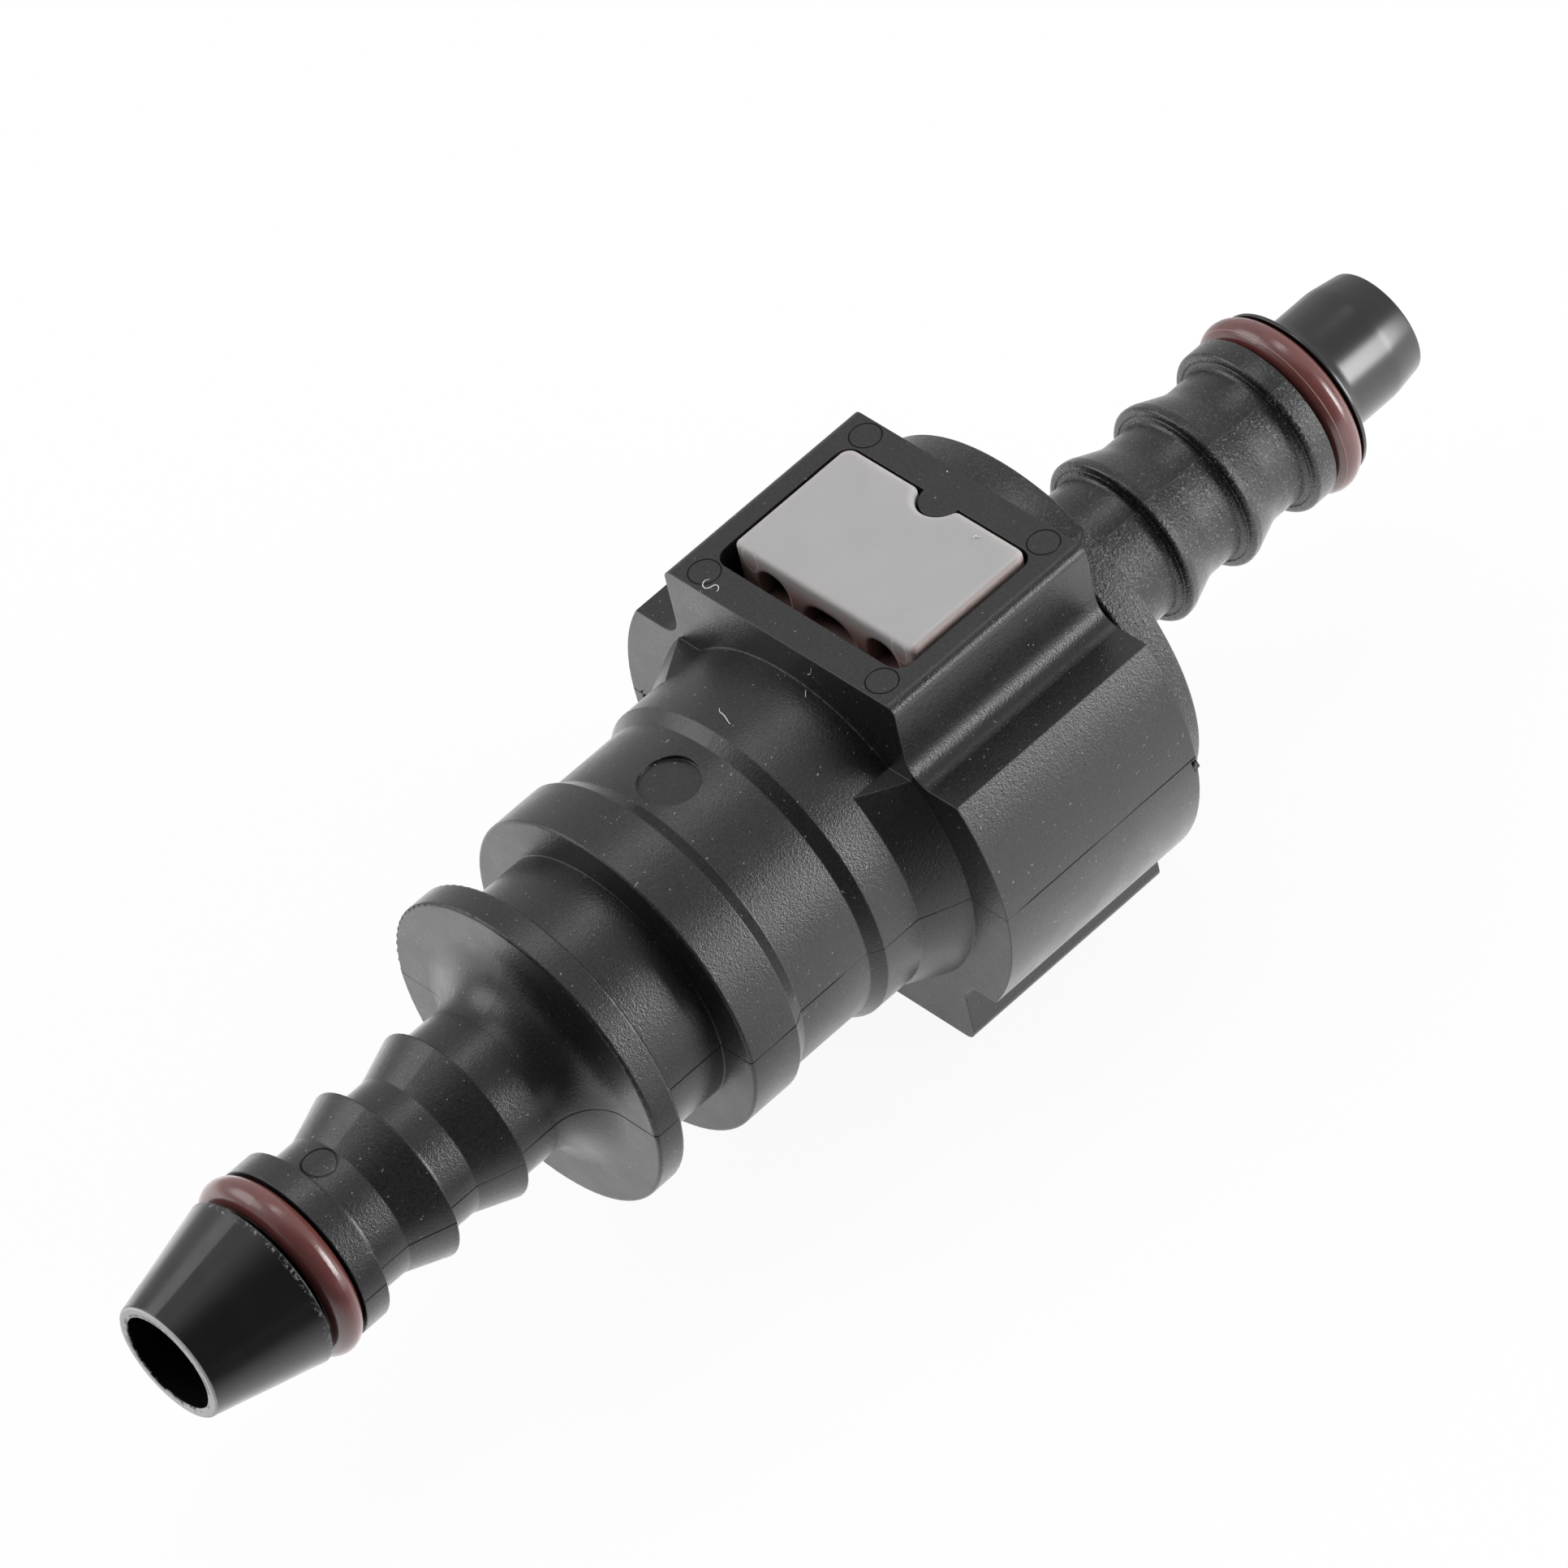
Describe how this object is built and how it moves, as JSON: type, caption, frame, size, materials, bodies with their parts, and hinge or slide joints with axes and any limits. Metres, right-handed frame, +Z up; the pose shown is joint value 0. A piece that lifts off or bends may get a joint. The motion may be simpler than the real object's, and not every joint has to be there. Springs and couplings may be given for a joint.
{
  "type": "fuel line quick connector",
  "caption": "Straight push-fit fuel line coupling: black nylon socket and plug with barbed hose stems and brown O-rings, latched by a light grey push-button clip",
  "frame": {"origin": "on the flow axis, in the plane of the open end of the socket's hose stem", "axes": "+X along the flow axis from the socket's hose stem to the plug's hose stem, +Z up through the release button, +Y across"},
  "size_m": [0.0763, 0.0236, 0.0219],
  "materials": {
    "socket_nylon": "fine grained black nylon",
    "plug_nylon": "coarse spark-eroded black nylon",
    "clip_acetal": "smooth light grey acetal",
    "brown_rubber": "satin fluoroelastomer",
    "bush_nylon": "plain dark nylon"
  },
  "bodies": {
    "socket": {"socket_body": "socket_nylon", "socket_stem_o_ring": "brown_rubber", "spigot_o_ring_inner": "brown_rubber", "spigot_o_ring_outer": "brown_rubber", "seal_spacer": "bush_nylon", "seal_bush": "bush_nylon"},
    "plug": {"plug_body": "plug_nylon", "plug_stem_o_ring": "brown_rubber"},
    "clip": {"release_clip": "clip_acetal"}
  },
  "joints": [
    {"name": "clip_press", "type": "slide", "parent": "socket", "child": "clip", "axis": [0, 0, -1], "range_m": [0, 0.0013], "stiffness_N_per_m": 6000, "springref_m": -0.0003},
    {"name": "plug_swivel", "type": "hinge", "parent": "socket", "child": "plug", "pos_m": [0.045, 0, 0], "axis": [1, 0, 0], "continuous": true}
  ]
}
